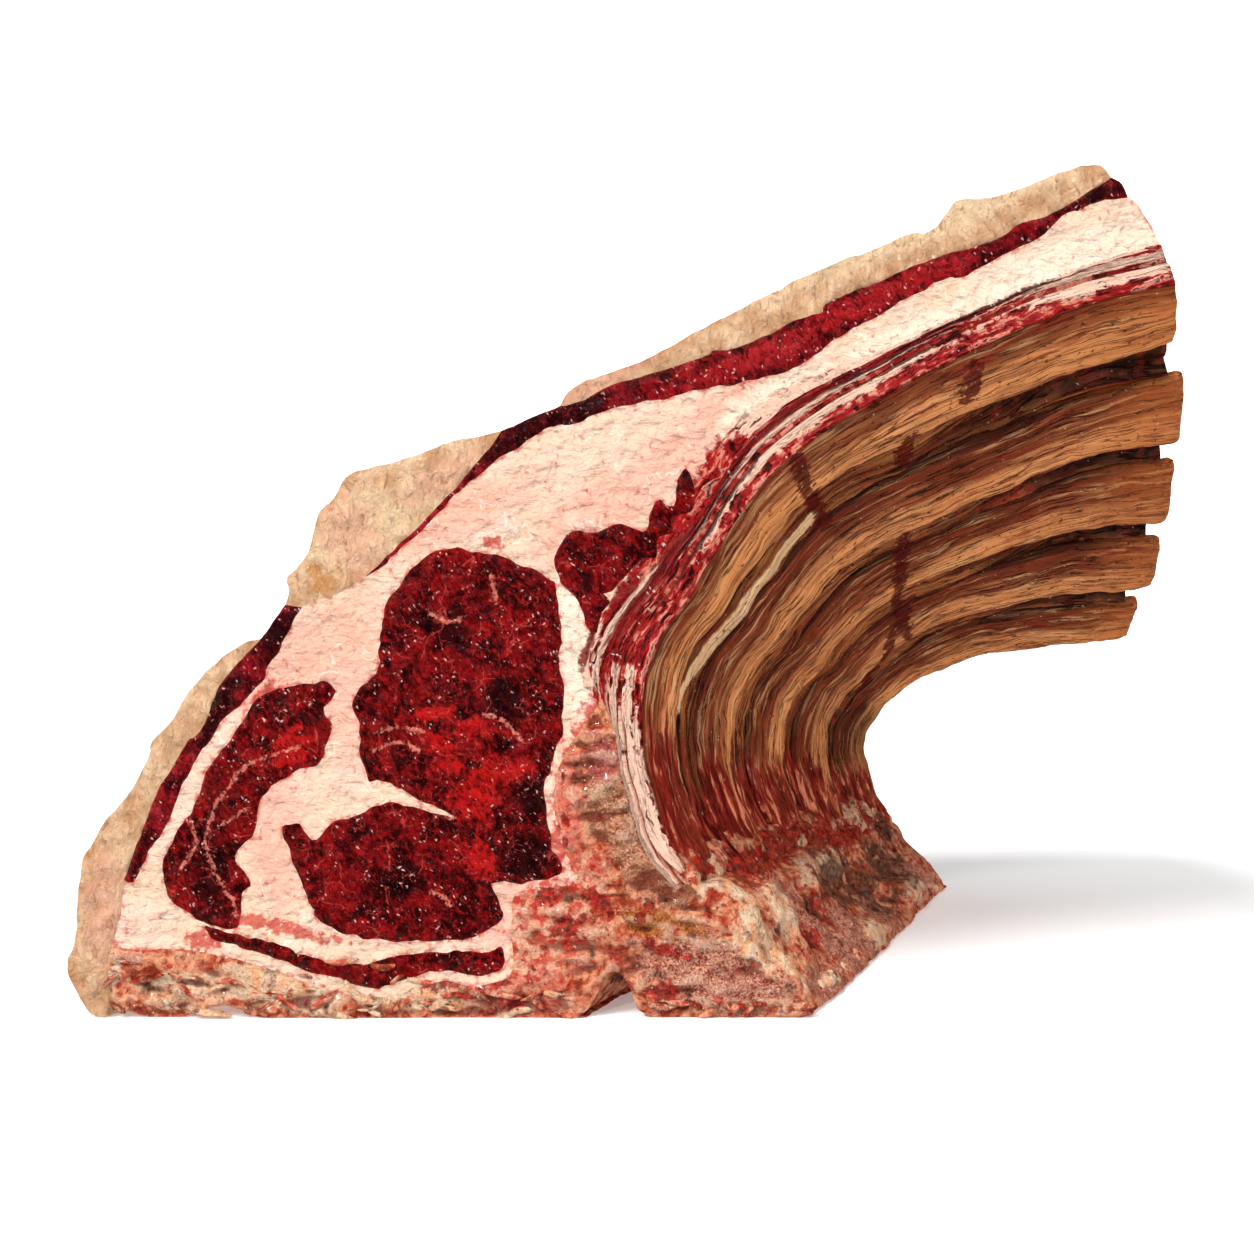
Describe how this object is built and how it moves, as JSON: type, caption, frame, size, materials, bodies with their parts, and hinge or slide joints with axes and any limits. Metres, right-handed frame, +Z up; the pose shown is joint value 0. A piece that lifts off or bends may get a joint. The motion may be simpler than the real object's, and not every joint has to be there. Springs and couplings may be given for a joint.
{
  "type": "raw bone-in beef rib roast",
  "caption": "Raw bone-in beef rib roast standing on its sawn chine: marbled cut face, fat cover, arched ribs with dark grooves between them.",
  "frame": {"origin": "centre of the footprint of the bounding box, on the floor", "axes": "+Z up, the cut face looks along -Y, the rib tips point to +X"},
  "size_m": [0.4974, 0.2638, 0.3275],
  "materials": {
    "cover_fat": "dry, waxy",
    "seam_fat": "moist, satin",
    "muscle": "wet, glossy",
    "outer_muscle": "wet, glossy",
    "rib_wall": "moist, satin",
    "rib_bone": "dry, satin",
    "backbone": "moist, rough"
  },
  "bodies": {
    "root": {"cover_fat_low": "cover_fat", "cover_fat_middle": "cover_fat", "cover_fat_high": "cover_fat", "outer_muscle_low": "outer_muscle", "outer_muscle_high": "outer_muscle", "seam_fat": "seam_fat", "eye_muscle": "muscle", "lower_muscle": "muscle", "cap_muscle": "muscle", "side_muscle": "muscle", "tail_muscle": "muscle", "rib_lining": "rib_wall", "rib_1": "rib_bone", "rib_2": "rib_bone", "rib_3": "rib_bone", "rib_4": "rib_bone", "rib_5": "rib_bone", "vertebra_1": "backbone", "vertebra_2": "backbone", "vertebra_3": "backbone", "vertebra_4": "backbone", "vertebra_5": "backbone"}
  },
  "joints": []
}
